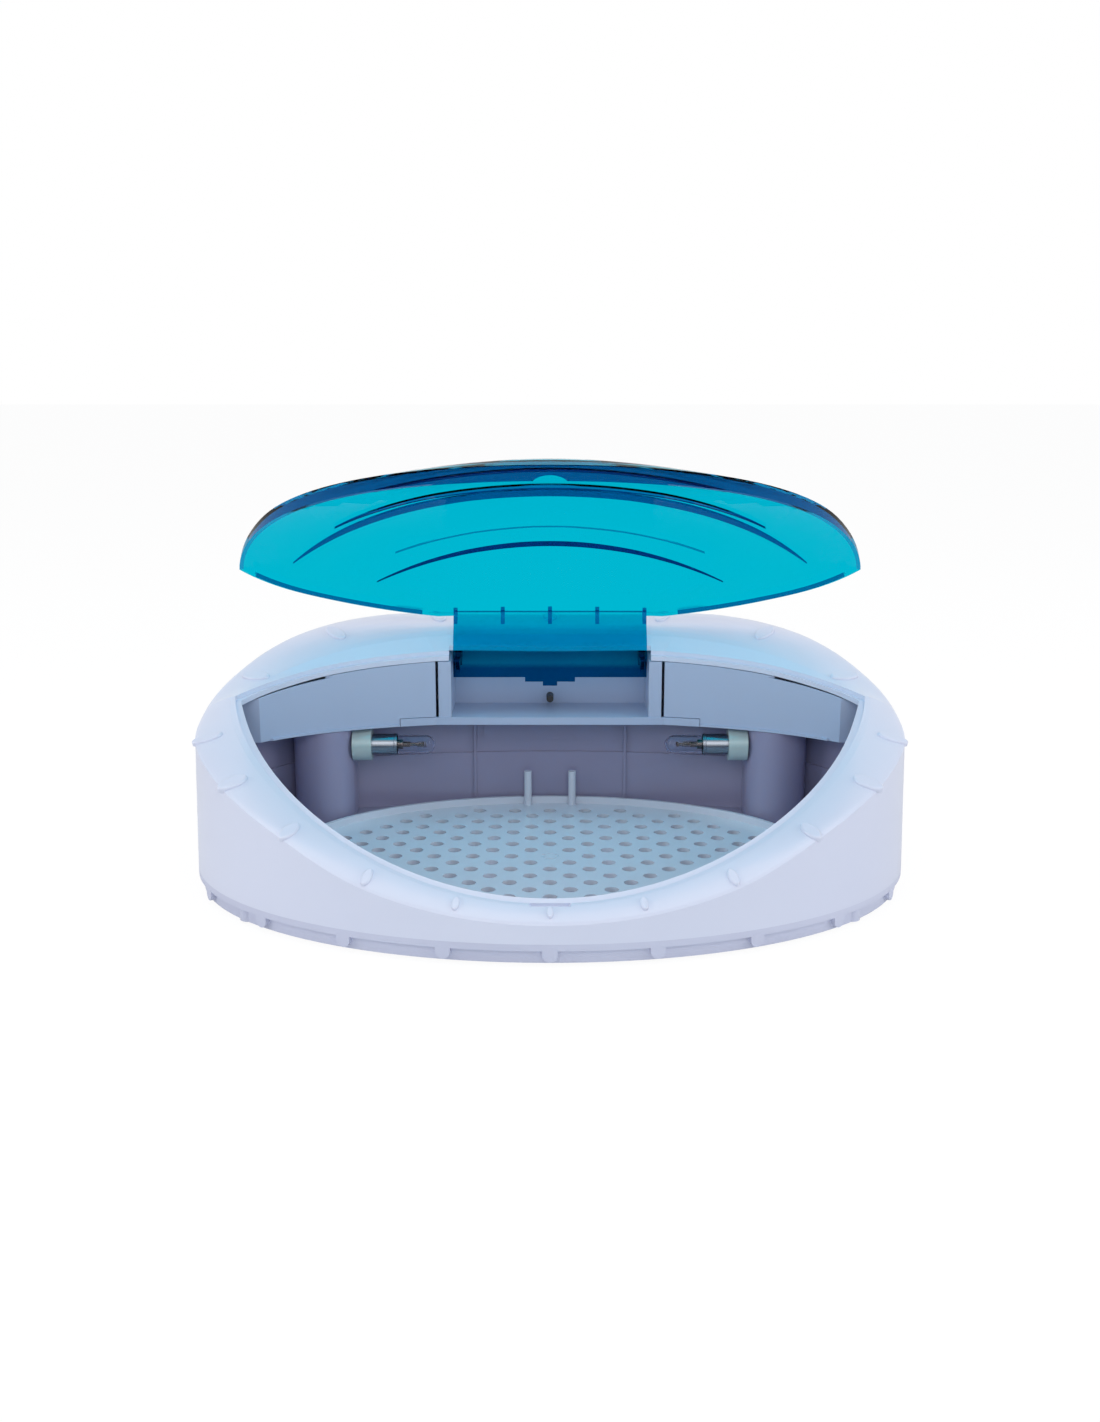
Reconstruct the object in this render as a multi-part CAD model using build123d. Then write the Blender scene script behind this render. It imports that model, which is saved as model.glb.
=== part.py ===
from build123d import *
import math
import os

# Tabletop ultraviolet cabinet for grooming tools: an oval drum, low at the front and tall at the
# back, with a tinted lid that swings up on a hinge hidden under the rear deck.
# Millimetres. Origin on the surface it stands on, under the drum's centre.
# X to the right as seen from the front, Y to the back, Z up.

# Drum
BODY_A = 183.5            # half width of the oval at the base
BODY_B = 127.0            # half depth of the oval at the base
DRAFT = 1.4               # degrees that the wall leans in
WALL = 2.6
SKIN = 2.6                # thickness of the collar and the deck
BODY_TOP = 135.0          # above every point of the deck
RIM = [(-127, 20), (-111, 33), (-93, 49), (-70, 62), (-40, 74),
       (0, 82), (40, 97.5), (75, 112), (104, 118), (127, 115)]   # wall's top edge, y and height
DECK_RISE = [(0, 0), (0.06, 4.5), (0.18, 7.6), (0.37, 9.3), (0.55, 9.2),
             (0.7, 8.3), (0.84, 6.4), (0.93, 2.7), (1, 0)]       # from the rim to the opening
BAND_RISE = 0.12          # share of the deck's crown that the front collar has
HALF_DECK = 165.0         # half width over which the deck's crown fades out

# Base
FOOT = 1.5                # height of the rubber feet below the base
FOOT_R = 9.0
FOOT_SINK = 1.0
PLATE = 2.5
BAND_TOP = 8.0            # top of the recessed band
BAND_INSET = 2.5
SEAM = 11.2               # where the drum's wall meets the base
LUGS = 20
LUG_R = 3.5
LUG_LOW = 2.6

# Opening: the front edge, the rear edge and a straight stretch behind
FRONT_A, FRONT_B, FRONT_Y = 168.0, 156.0, 40.0
REAR_A, REAR_B, REAR_Y = 175.0, 88.0, -20.0
STRAIGHT_Y = 62.0
STRAIGHT_X = REAR_A * math.sqrt(1 - ((STRAIGHT_Y - REAR_Y) / REAR_B) ** 2)
CORNER_X, CORNER_Y = 164.6, 9.9   # where the front and rear edges meet
SEAT = [(-116, 25.5), (-50, 67.0), (10, 92.5)]   # side view of the front seat, one arc
SEAT_REAR = [(0, 107.2), (60, 107), (118.6, 102.9), (164.8, 93.7)]   # x and height at the rear
RIDGE = 1.0               # ridge above the seat line
DROP = 1.5                # ledge below the seat line
LEDGE = 4.5               # width of the ledge at the front and sides
REAR_LEDGE = 3.0
LEDGE_T = 2.0
FLANGE = 6.0              # depth of the flange that hangs from the ledge
FLANGE_T = 1.5
REAR_LIP = 0.6            # depth of the rear ledge's own small lip
GRIP_W, GRIP_DEPTH, GRIP_OUT = 21.0, 2.0, 2.5   # finger recess in the front ridge

SHARES = (0, 0.03, 0.08, 0.14, 0.22, 0.32, 0.44, 0.56, 0.67, 0.76, 0.84, 0.9, 0.95, 1)
INNER_SHARES = (0.27, 0.37, 0.5, 0.6, 0.7)

# Ring of oval bosses on the collar
BOSS_STEP = 42.6          # spacing along the front collar
BOSS_SIDE = 5             # bosses on each side of the front one
REAR_BOSSES = [(158, 33), (119.5, 69), (64, 92), (0, 98), (-64, 92), (-119.5, 69), (-158, 33)]
BOSS_PROUD = 1.2
BOSS_SINK = 1.5
BOSS_SHARE = 0.6          # length as a share of the collar's width
BOSS_LONGEST = 17.0
BOSS_SLIM = 0.48          # width as a share of the length

# Hinge
HINGE_Y, HINGE_Z = 88.0, 102.0
OPEN_ANGLE = 52.0
ARM_IN, ARM_OUT = 25.6, 28.0
ARM_FROM, ARM_TO = 163.0, 250.0   # the arm's sweep when shut, degrees from +Y towards +Z
ARM_HALF = 53.7
WEB_T = 3.2
WEB_FROM = 232.0
WEB_R = 7.0
PIN_R = 2.5
RUN = 0.05                # radial clearance of the pins
GUSSETS = (-52.6, -26.3, 0, 26.3, 52.6)
GUSSET_T = 2.2
GUSSET = 8.0
TAB_HALF, TAB_TO = 13.9, 256.0
BUMP_R, BUMP_TO = 4.0, 262.0

# Lid
LID_GAP = 0.8             # gap between the lid's edge and the ridge
LID_T = 2.2
LID_LINE = [(-116, 33.5), (-107.5, 47.7), (-95, 59.5), (-80, 71), (-43, 94), (-10, 106.5),
            (20, 109.0), (62, 108.8)]    # side view of the shut lid's middle, y and height
LID_SEAT_GAP = 0.5
FLANGE_H = 8.0            # height of the rolled front edge above the seat
LID_REAR_RISE = 1.8
LID_HUB = 0.08            # share of the lid's reach that is its flat middle
HUB_REACH = 8.0
LID_SHARES = (LID_HUB, 0.25, 0.4, 0.55, 0.68, 0.79, 0.88, 0.945, 0.98, 1)
STEP_H = 1.6              # height of the crescent steps
STEPS = ((-88, 84, 22, 4), (-62, 110, 40, 5), (-15, 82, 22, 4))   # front, half width, sag, depth
LID_RIB_H, LID_RIB_T, LID_RIB_IN = 3.0, 2.0, 4.0
NOTCH_W, NOTCH_H = 17.0, 6.5

# Hinge bay
BAY_HALF = 55.0
CHEEK = 7.0
BAY_BACK = 95.0
BAY_TOP = 115.0
SHELF_TOP = 71.0
SHELF_T = 2.0
STRIP_LOW = 66.8
STRIP_HALF = 83.0
PANEL_GAP = 1.6           # dark gap between a cheek and its panel
PANEL_T = 2.0
PANEL_LOW = 67.0
PANEL_FRONT = 18.0
PANEL_LIP = 1.2
CORNER_LIP_Y = 42.0       # where the ledge's lip starts to deepen towards the corner
FIT = 0.3                 # gap between parts that only sit together

# Chamber
CHAMBER_A, CHAMBER_B = 168.0, 115.0
BACK_R, BACK_Y = 463.0, 84.0
LINER_T = 2.0
FLOOR_LOW, FLOOR_TOP = 8.5, 10.5
LINER_TOP = 66.2
STEP_Z = 45.0
STEP_T = 1.0
WALL_RIB_X, WALL_RIB_T = 43.0, 1.5
PAD_HALF, PAD_LOW = 38.0, 52.0

# Tray
TRAY_A, TRAY_B, TRAY_Y = 136.0, 94.0, -13.0
MARK_Y = -16.0
TRAY_TOP, TRAY_T = 15.0, 2.5
TRAY_RIM, TRAY_RIM_T = 4.0, 2.0
HOLE_R, HOLE_PITCH, HOLE_EDGE = 3.55, 10.0, 8.0
PEG_X, PEG_Y, PEG_R, PEG_TOP = 12.7, 76.5, 2.15, 35.0
MARK_W, MARK_DEEP = 1.0, 0.4     # ring engraved in the middle of the tray

# Lamps
POST_X, POST_Y, POST_R = 126.0, 55.0, 16.5
LAMP_Z = 56.5
POST_SCREWS = (42.5, 26.5)    # heights of the bosses inside a post
WIRE_X, WIRE_Z, WIRE_R = 132.0, 6.2, 1.2
SOCKET_R, SOCKET_L = 9.0, 10.5
CAP_R, CAP_L = 5.9, 14.0
GLASS_R, GLASS_L, GLASS_T = 5.2, 21.0, 0.8

# Rear panel
RECESS_HALF, RECESS_LOW, RECESS_HIGH, RECESS_Y = 34.0, 20.0, 46.0, 119.0
INLET_X, INLET_W, INLET_H = -15.5, 20.0, 12.0
ROCKER_X, ROCKER_W, ROCKER_H = 15.5, 19.0, 13.0
ROCKER_Y, ROCKER_PIN_R = 118.3, 0.6
FRAME_T = 1.2             # wall of the rocker's frame
SOCKET_Z = 33.0

# Board
BOARD_HALF, BOARD_FRONT, BOARD_BACK, BOARD_Z, BOARD_T = 60.0, 89.5, 113.0, 13.0, 1.6

TERMINAL_Y, TERMINAL_Z = 93.0, 3.2    # front of the terminals, height of their mouths
TERMINALS = [-15.25 + 5.5 * k for k in range(4)]
WIRE_Y = 87.8             # where the lamp wires run behind the chamber

# Screws
BOSS_R, BOSS_TOP = 3.6, 40.0
SCREW_R, HEAD_R, HEAD_H = 1.25, 2.8, 2.0
SCREW_L = 14.0
SCREW_IN = WALL + BOSS_R - 0.6    # from the drum's outside to the screw
SCREW_AT = (-35, 8, 55, 125, 172, 215)   # angles round the oval


# Heights

def smooth(points, x):
    """Height at x on a smooth line through points, level past its ends."""
    if x <= points[0][0]:
        return points[0][1]
    if x >= points[-1][0]:
        return points[-1][1]
    last = len(points) - 1
    i = max(k for k in range(last) if points[k][0] <= x)

    def slope(k):
        a, b = points[max(k - 1, 0)], points[min(k + 1, last)]
        return (b[1] - a[1]) / (b[0] - a[0])
    (x0, y0), (x1, y1) = points[i], points[i + 1]
    span = x1 - x0
    s = (x - x0) / span
    return ((2 * s**3 - 3 * s**2 + 1) * y0 + (s**3 - 2 * s**2 + s) * span * slope(i)
            + (3 * s**2 - 2 * s**3) * y1 + (s**3 - s**2) * span * slope(i + 1))


def arc_height(points, y):
    """Height at y on the circle through three points of a side view."""
    (x1, y1), (x2, y2), (x3, y3) = points
    d = 2 * (x1 * (y2 - y3) + x2 * (y3 - y1) + x3 * (y1 - y2))
    s1, s2, s3 = x1 * x1 + y1 * y1, x2 * x2 + y2 * y2, x3 * x3 + y3 * y3
    cx = (s1 * (y2 - y3) + s2 * (y3 - y1) + s3 * (y1 - y2)) / d
    cz = (s1 * (x3 - x2) + s2 * (x1 - x3) + s3 * (x2 - x1)) / d
    r = math.hypot(x1 - cx, y1 - cz)
    return cz + math.sqrt(max(r * r - (y - cx) ** 2, 0))


def edge_point(angle):
    """Point of the opening's edge in the direction of angle, from (0, MARK_Y)."""
    dx, dy = math.cos(angle), math.sin(angle)

    def reach(a, b, cy):
        qa = (dx / a) ** 2 + (dy / b) ** 2
        qb = 2 * dy * (MARK_Y - cy) / b**2
        qc = ((MARK_Y - cy) / b) ** 2 - 1
        return (-qb + math.sqrt(qb * qb - 4 * qa * qc)) / (2 * qa)
    r = reach(FRONT_A, FRONT_B, FRONT_Y)
    if dy > 0:
        r = min(r, reach(REAR_A, REAR_B, REAR_Y), (STRAIGHT_Y - MARK_Y) / dy)
    return r, dx * r, MARK_Y + dy * r


def edge_height(x, y):
    """Seat line's height at a point of the opening's edge."""
    front = arc_height(SEAT, min(y, SEAT[-1][0]))
    rear = smooth(SEAT_REAR, abs(x))
    blend = min(max((y - SEAT[-1][0] + 6) / 12, 0), 1)
    return front + (rear - front) * blend


def rim_reach(angle):
    """Distance from (0, MARK_Y) to the drum's wall in the direction of angle."""
    dx, dy = math.cos(angle), math.sin(angle)
    qa = (dx / BODY_A) ** 2 + (dy / BODY_B) ** 2
    qb = 2 * dy * MARK_Y / BODY_B**2
    qc = (MARK_Y / BODY_B) ** 2 - 1
    return (-qb + math.sqrt(qb * qb - 4 * qa * qc)) / (2 * qa)


def crown_share(ex, ey):
    """How much of the deck's crown a direction has: all behind, a little at the front."""
    if ey <= 0:
        return BAND_RISE
    return max(BAND_RISE, 1 - (abs(ex) / HALF_DECK) ** 2)


def top_point(angle, share, lower=0.0):
    """Point of the collar or deck, from share 0 at the rim to 1 at the ridge."""
    inner, ex, ey = edge_point(angle)
    flat = rim_reach(angle)
    rim = smooth(RIM, MARK_Y + flat * math.sin(angle))
    outer = flat - (rim - SEAM) * math.tan(math.radians(DRAFT))
    seat = edge_height(ex, ey) + RIDGE
    r = outer + (inner - outer) * share
    z = rim + (seat - rim) * share + crown_share(ex, ey) * smooth(DECK_RISE, share)
    return r * math.cos(angle), MARK_Y + r * math.sin(angle), z - lower


def inset_share(angle, distance):
    """Share of the way from rim to ridge that lies a distance in from the rim."""
    return distance / (rim_reach(angle) - edge_point(angle)[0])


def seat_point(angle, inset, lift):
    """Point set in from the opening's edge, at a height above the seat line."""
    r, ex, ey = edge_point(angle)
    r -= inset
    x, y = r * math.cos(angle), MARK_Y + r * math.sin(angle)
    return x, y, edge_height(x, y) + lift


def behind(angle):
    """0 at the front edge of the opening, 1 at its rear edge."""
    ey = edge_point(angle)[2]
    return 1.0 if ey > SEAT[-1][0] - 0.5 else 0.0


def half_width(y):
    """Half width of the opening at y, and the seat line's height there."""
    x = FRONT_A * math.sqrt(max(1 - ((y - FRONT_Y) / FRONT_B) ** 2, 0))
    if y > REAR_Y:
        x = min(x, REAR_A * math.sqrt(max(1 - ((y - REAR_Y) / REAR_B) ** 2, 0)))
    return x, edge_height(x, y)


def lid_point(angle, share, lower=0.0):
    """Point of the shut lid's outer face, from its middle to its edge."""
    r = (edge_point(angle)[0] - LID_GAP) * share
    x, y = r * math.cos(angle), MARK_Y + r * math.sin(angle)
    half, seat = half_width(y)
    front = min(max((SEAT[-1][0] - y) / 60, 0), 1)
    edge = seat + LID_REAR_RISE + (FLANGE_H - LID_REAR_RISE) * front
    middle = smooth(LID_LINE, y)
    bow = min(abs(x) / max(half, 1), 1) ** 2
    z = middle + (edge - middle) * bow
    if share <= LID_HUB:
        rise = smooth(LID_LINE, MARK_Y + HUB_REACH) - smooth(LID_LINE, MARK_Y - HUB_REACH)
        slope = rise / (2 * HUB_REACH)
        z = smooth(LID_LINE, MARK_Y) + slope * (y - MARK_Y)
    return x, y, z - lower


def collar_height(x, y):
    """Height of the collar's face over a point of its plan."""
    angle = math.atan2(y - MARK_Y, x)
    low, high = top_point(angle, 0), top_point(angle, 1)
    outer = math.hypot(low[0], low[1] - MARK_Y)
    inner = math.hypot(high[0], high[1] - MARK_Y)
    share = (outer - math.hypot(x, y - MARK_Y)) / (outer - inner)
    return top_point(angle, min(max(share, 0), 1))[2]


# Tools for solids

def turns():
    """Directions round the opening in four stretches that meet at its corners."""
    corner = math.atan2(CORNER_Y - MARK_Y, CORNER_X)
    start = math.atan2(STRAIGHT_Y - MARK_Y, STRAIGHT_X)
    ends = (-math.pi - corner, corner, start, math.pi - start, math.pi - corner)
    counts = (28, 8, 6, 8)
    stretches = []
    for low, high, n in zip(ends, ends[1:], counts):
        stretches.append([low + (high - low) * k / n for k in range(n + 1)])
    return stretches


def ring(point):
    """Closed outline of four edges through point(angle)."""
    return [Edge.make_spline([Vector(*point(a)) for a in stretch]) for stretch in turns()]


def skin(rings):
    """Ruled faces between each ring and the next."""
    faces = []
    for one, two in zip(rings, rings[1:]):
        faces += [Face.make_surface_from_curves(a, b) for a, b in zip(one, two)]
    return faces


def oval(a, b, y=0.0, z=0.0):
    return Plane((0, y, z)) * Ellipse(a, b)


def drum(inset, low, high):
    """The drum's oval block between two levels, set in from the outer wall."""
    lean = math.tan(math.radians(DRAFT))
    ends = []
    for z in (low, high):
        d = inset + (z - SEAM) * lean
        ends.append(oval(BODY_A - d, BODY_B - d, 0, z))
    return loft(ends)


def plan(front, rear):
    """The opening's plan, set in by front at the front edge and by rear at the rear edge."""
    face = oval(FRONT_A - front, FRONT_B - front, FRONT_Y)
    back = oval(REAR_A - rear, REAR_B - rear, REAR_Y)
    back += Pos(0, REAR_Y - 100) * Rectangle(2 * (REAR_A - rear), 200)
    face &= back
    face &= Pos(0, STRAIGHT_Y - rear - 200) * Rectangle(500, 400)
    return face


def prism(face, low, high):
    return extrude(Pos(0, 0, low) * face, high - low)


def block(x0, x1, y0, y1, z0, z1):
    return Pos((x0 + x1) / 2, (y0 + y1) / 2, (z0 + z1) / 2) * Box(x1 - x0, y1 - y0, z1 - z0)


def rod(r, low, high, x, y):
    return Pos(x, y, (low + high) / 2) * Cylinder(r, high - low)


def rod_x(r, x0, x1, y, z):
    return Pos((x0 + x1) / 2, y, z) * Rot(0, 90, 0) * Cylinder(r, x1 - x0)


def rod_y(r, y0, y1, x, z):
    return Pos(x, (y0 + y1) / 2, z) * Rot(90, 0, 0) * Cylinder(r, y1 - y0)


def above_front(lift):
    """Everything above the front seat line moved up by lift."""
    first, middle, last = SEAT
    lead, tail = first[0] - 30, last[0] + 30
    side = Line((lead, first[1]), first) + ThreePointArc(first, middle, last)
    side += Polyline(last, (tail, last[1] + 60), (tail, 2 * BODY_TOP), (lead, 2 * BODY_TOP),
                     (lead, first[1]))
    return extrude(Plane.YZ * Pos(0, lift) * make_face(side), 2 * BODY_A, both=True)


def above_rear(lift):
    """Everything above the bow of the rear seat line moved up by lift."""
    right = SEAT_REAR + [(SEAT_REAR[-1][0] + 30, SEAT_REAR[-1][1] - 14)]
    left = [(-x, z) for x, z in reversed(right[1:])]
    bow = Spline(*left, *right)
    bow += Polyline(right[-1], (right[-1][0], 2 * BODY_TOP), (left[0][0], 2 * BODY_TOP), left[0])
    return extrude(Plane.XZ * Pos(0, lift) * make_face(bow), 2 * BODY_A, both=True)


def walk_oval(a, b, distance):
    """Point that far along an oval from its front, towards the right."""
    steps = 3600
    x, y, run, k = 0.0, -b, 0.0, 0
    while run < distance:
        k += 1
        t = 2 * math.pi * k / steps
        run += math.hypot(a * math.sin(t) - x, -b * math.cos(t) - y)
        x, y = a * math.sin(t), -b * math.cos(t)
    return x, y


def oval_places(count, a, b):
    """Points spaced evenly round an oval, with the outward direction of each."""
    round_trip = math.pi * (3 * (a + b) - math.sqrt((3 * a + b) * (a + 3 * b)))
    places = []
    for n in range(count):
        x, y = walk_oval(a, b, round_trip * n / count)
        places.append((x, y, math.degrees(math.atan2(y / b**2, x / a**2))))
    return places


def wall_spots(inset):
    """Screw places round the oval."""
    return [((BODY_A - inset) * math.cos(math.radians(t)), (BODY_B - inset) * math.sin(math.radians(t)))
            for t in SCREW_AT]


# Housing

def housing_skin():
    """Closed shell of the drum's wall, the collar, the deck and the stepped opening."""
    def wall(inset):
        return lambda a: ((rim_reach(a) - inset) * math.cos(a),
                          MARK_Y + (rim_reach(a) - inset) * math.sin(a), SEAM)

    def face(share, lower=0.0):
        return lambda a: top_point(a, share, lower)

    def inside(distance, lower, from_edge):
        def point(a):
            share = inset_share(a, distance)
            return top_point(a, 1 - share if from_edge else share, lower)
        return point

    def seat(front, rear, front_lift, rear_lift):
        return lambda a: seat_point(a, front + (rear - front) * behind(a),
                                    front_lift + (rear_lift - front_lift) * behind(a))
    low = -DROP - LEDGE_T
    rings = [ring(wall(0))]
    rings += [ring(face(share)) for share in SHARES]
    rings += [ring(seat(0, 0, -DROP, -DROP)),
              ring(seat(LEDGE, REAR_LEDGE, -DROP, -DROP)),
              ring(seat(LEDGE, REAR_LEDGE, -DROP - FLANGE, low - REAR_LIP)),
              ring(seat(LEDGE - FLANGE_T, REAR_LEDGE - 1, -DROP - FLANGE, low - REAR_LIP)),
              ring(seat(LEDGE - FLANGE_T, REAR_LEDGE - 1, low, low)),
              ring(seat(-WALL, -WALL, low, low)),
              ring(inside(WALL, SKIN, True))]
    rings += [ring(face(share, SKIN)) for share in reversed(INNER_SHARES)]
    rings += [ring(inside(WALL, SKIN, False)), ring(wall(WALL))]
    return Solid(Shell(skin(rings + rings[:1])))


def upper_housing():
    shell = housing_skin()
    shell -= block(-BAY_HALF - 1, BAY_HALF + 1, 40, STRAIGHT_Y + SKIN, SHELF_TOP, BODY_TOP)
    front = FRONT_Y - FRONT_B
    lip = edge_height(0, front) + RIDGE
    grip = Pos(0, lip) * Trapezoid(GRIP_W, 2 * GRIP_DEPTH, 65, rotation=180)
    shell -= extrude(Plane.XZ.offset(-front + GRIP_OUT) * grip, -2 * GRIP_OUT)
    x = RECESS_HALF + WALL
    panel = block(-x, x, RECESS_Y - WALL, BODY_B, RECESS_LOW - WALL, RECESS_HIGH + WALL)
    shell += panel & drum(WALL / 2, SEAM, BODY_TOP)
    shell -= block(-RECESS_HALF, RECESS_HALF, RECESS_Y, BODY_B + 5, RECESS_LOW, RECESS_HIGH)
    shell -= port(INLET_X, INLET_W + FIT, INLET_H + FIT)
    shell -= port(ROCKER_X, ROCKER_W + FIT, ROCKER_H + FIT)
    spots = wall_spots(SCREW_IN)
    shell += [rod(BOSS_R, SEAM, BOSS_TOP, x, y) for x, y in spots]
    shell -= [rod(SCREW_R, SEAM - 1, SEAM + SCREW_L, x, y) for x, y in spots]
    return shell + [boss(*place) for place in boss_places()]


def port(x, w, h):
    return block(x - w / 2, x + w / 2, RECESS_Y - 20, BODY_B, SOCKET_Z - h / 2, SOCKET_Z + h / 2)


def boss_places():
    """Bosses along the middle of the collar and deck: point, outward direction and length."""
    a, b = (BODY_A + FRONT_A) / 2, (BODY_B + FRONT_B - FRONT_Y) / 2
    half = [walk_oval(a, b, k * BOSS_STEP) for k in range(BOSS_SIDE + 1)]
    spots = half + [(-x, y) for x, y in half[1:]] + REAR_BOSSES
    places = []
    for x, y in spots:
        angle = math.atan2(y - MARK_Y, x)
        width = rim_reach(angle) - edge_point(angle)[0]
        turn = math.degrees(math.atan2(y / b**2, x / a**2))
        places.append((x, y, turn, min(BOSS_SHARE * width, BOSS_LONGEST)))
    return places


def boss(x, y, turn, length):
    """A shallow oval lens lying on the collar, long across it."""
    out = math.radians(turn)
    dx, dy = math.cos(out), math.sin(out)
    z = collar_height(x, y)
    across = (collar_height(x + 2 * dx, y + 2 * dy) - collar_height(x - 2 * dx, y - 2 * dy)) / 4
    along = (collar_height(x - 2 * dy, y + 2 * dx) - collar_height(x + 2 * dy, y - 2 * dx)) / 4
    u = Vector(dx, dy, across).normalized()
    v = Vector(-dy, dx, along).normalized()
    r = length / 2
    pad = extrude(Plane.XY * Ellipse(r, r * BOSS_SLIM), BOSS_PROUD + BOSS_SINK)
    pad = fillet(pad.edges().sort_by(Axis.Z)[-1], min(0.9 * BOSS_PROUD, 0.8 * r * BOSS_SLIM**2))
    frame = Plane(origin=(x, y, z), x_dir=u, z_dir=u.cross(v))
    return frame * Pos(0, 0, -BOSS_SINK) * pad


# Base

def lug(x, y, turn):
    """Rounded tab on the recessed band."""
    out = BAND_INSET / 2 + 1
    tab = block(-3, out, -LUG_R, LUG_R, LUG_LOW + LUG_R, BAND_TOP)
    tab += rod_x(LUG_R, -3, out, 0, LUG_LOW + LUG_R)
    return Pos(x, y, 0) * Rot(0, 0, turn) * tab


def base_plate():
    top = FOOT + PLATE
    spots = wall_spots(SCREW_IN)
    shell = prism(oval(BODY_A, BODY_B), BAND_TOP, SEAM)
    shell += prism(oval(BODY_A - BAND_INSET, BODY_B - BAND_INSET), FOOT, BAND_TOP)
    inset = BAND_INSET / 2 + 1
    shell += [lug(*place) for place in oval_places(LUGS, BODY_A - inset, BODY_B - inset)]
    inner = BAND_INSET + WALL
    shell -= prism(oval(BODY_A - inner, BODY_B - inner), top, SEAM + 1)
    posts = [rod(BOSS_R + 1, FOOT, SEAM - FIT, x, y) for x, y in spots]
    shell += posts + [rod(3, top - 1, BOARD_Z, x, y) for x, y in board_holes()]
    holes = [rod(SCREW_R + FIT, 0, SEAM + 1, x, y) for x, y in spots]
    holes += [rod(HEAD_R + FIT, 0, FOOT + HEAD_H + 2 * FIT, x, y) for x, y in spots]
    holes += [rod(FOOT_R + FIT / 2, 0, FOOT + FOOT_SINK, x, y) for x, y in feet_spots()]
    holes += [block(k * 10 - 2, k * 10 + 2, 92, 112, 0, top + 1) for k in range(-4, 5)]
    holes += [rod(1, top, BOARD_Z + 1, x, y) for x, y in board_holes()]
    return shell - holes


def feet_spots():
    return [(sx * BODY_A * 0.66, sy * BODY_B * 0.56) for sx in (-1, 1) for sy in (-1, 1)]


def rubber_feet():
    return [rod(FOOT_R, 0, FOOT + FOOT_SINK, x, y) for x, y in feet_spots()]


def base_screws():
    screws = []
    for x, y in wall_spots(SCREW_IN):
        head = rod(HEAD_R, FOOT + 0.2, FOOT + 0.2 + HEAD_H, x, y)
        head -= block(x - 2.2, x + 2.2, y - 0.4, y + 0.4, 0, FOOT + 1)
        head -= block(x - 0.4, x + 0.4, y - 2.2, y + 2.2, 0, FOOT + 1)
        screws.append(head + rod(SCREW_R - 0.05, FOOT + HEAD_H, FOOT + HEAD_H + SCREW_L, x, y))
    return screws


# Chamber

def chamber_plan(grow=0.0):
    face = oval(CHAMBER_A + grow, CHAMBER_B + grow)
    return face & Pos(0, BACK_Y - BACK_R) * Circle(BACK_R + grow)


def chamber_liner():
    tub = prism(chamber_plan(LINER_T), FLOOR_LOW, LINER_TOP) - prism(chamber_plan(), FLOOR_TOP, BODY_TOP)
    tub -= above_front(-SKIN - DROP - FIT)
    step = prism(chamber_plan(), FLOOR_TOP, STEP_Z) - prism(chamber_plan(-STEP_T), 0, BODY_TOP)
    step &= block(-BODY_A, BODY_A, 20, BODY_B, 0, BODY_TOP)
    tub += step
    back = BACK_Y - 1
    for x in (-WALL_RIB_X, WALL_RIB_X):
        y = back_at(x)
        tub += block(x - WALL_RIB_T / 2, x + WALL_RIB_T / 2, y - STEP_T - 1.2, y + 1, FLOOR_TOP, LINER_TOP)
    pad = block(-PAD_HALF, PAD_HALF, back - 3, BACK_Y + 1, PAD_LOW, LINER_TOP)
    tub += pad & prism(chamber_plan(0.5), 0, BODY_TOP) & ring_back()
    shelf = prism(chamber_plan(), FLOOR_TOP, TRAY_TOP)
    shelf -= prism(oval(TRAY_A + 1, TRAY_B + 1, TRAY_Y), 0, BODY_TOP)
    tub += shelf
    return tub - [rod(2 * WIRE_R, 0, TRAY_TOP + 1, x, POST_Y) for x in (-WIRE_X, WIRE_X)]


def back_at(x):
    return BACK_Y - BACK_R + math.sqrt(BACK_R**2 - x * x)


def ring_back():
    """A one-millimetre layer on the chamber's back wall."""
    outer = Pos(0, BACK_Y - BACK_R) * Circle(BACK_R + 0.5)
    inner = Pos(0, BACK_Y - BACK_R) * Circle(BACK_R - 1)
    return prism(outer - inner, 0, BODY_TOP)


def tray_holes():
    """Centres of the tray's staggered holes; the middle one is only marked."""
    a, b = TRAY_A - HOLE_EDGE, TRAY_B - HOLE_EDGE
    spots = []
    for i in range(-14, 15):
        for j in range(-10, 11):
            x, y = i * HOLE_PITCH, MARK_Y + j * HOLE_PITCH
            inside = (x / a) ** 2 + ((y - TRAY_Y) / b) ** 2 < 1
            peg = abs(abs(x) - PEG_X) < 2 * HOLE_R and y > PEG_Y - 2 * HOLE_R
            if (i + j) % 2 == 0 and inside and (i, j) != (0, 0) and not peg:
                spots.append((x, y))
    return spots


def perforated_tray():
    base = TRAY_TOP - TRAY_T
    plate = oval(TRAY_A, TRAY_B, TRAY_Y) - [Pos(x, y) * Circle(HOLE_R) for x, y in tray_holes()]
    wall = oval(TRAY_A, TRAY_B, TRAY_Y) - oval(TRAY_A - TRAY_RIM_T, TRAY_B - TRAY_RIM_T, TRAY_Y)
    tray = prism(plate, base, TRAY_TOP) + prism(wall, base, TRAY_TOP + TRAY_RIM)
    mark = rod(HOLE_R + MARK_W, TRAY_TOP - MARK_DEEP, TRAY_TOP + 1, 0, MARK_Y)
    tray -= mark - rod(HOLE_R, 0, TRAY_TOP + 2, 0, MARK_Y)
    return tray + [rod(PEG_R, TRAY_TOP - 1, PEG_TOP, x, PEG_Y) for x in (-PEG_X, PEG_X)]


def tray_ribs():
    """Low ribs that the tray rests on."""
    ribs = []
    for x in (-90, -30, 30, 90):
        ribs.append(block(x - 1, x + 1, -60, 40, FLOOR_TOP - 0.5, TRAY_TOP - TRAY_T))
    return ribs


# Lamps, modelled on the right and mirrored to the left

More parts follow.
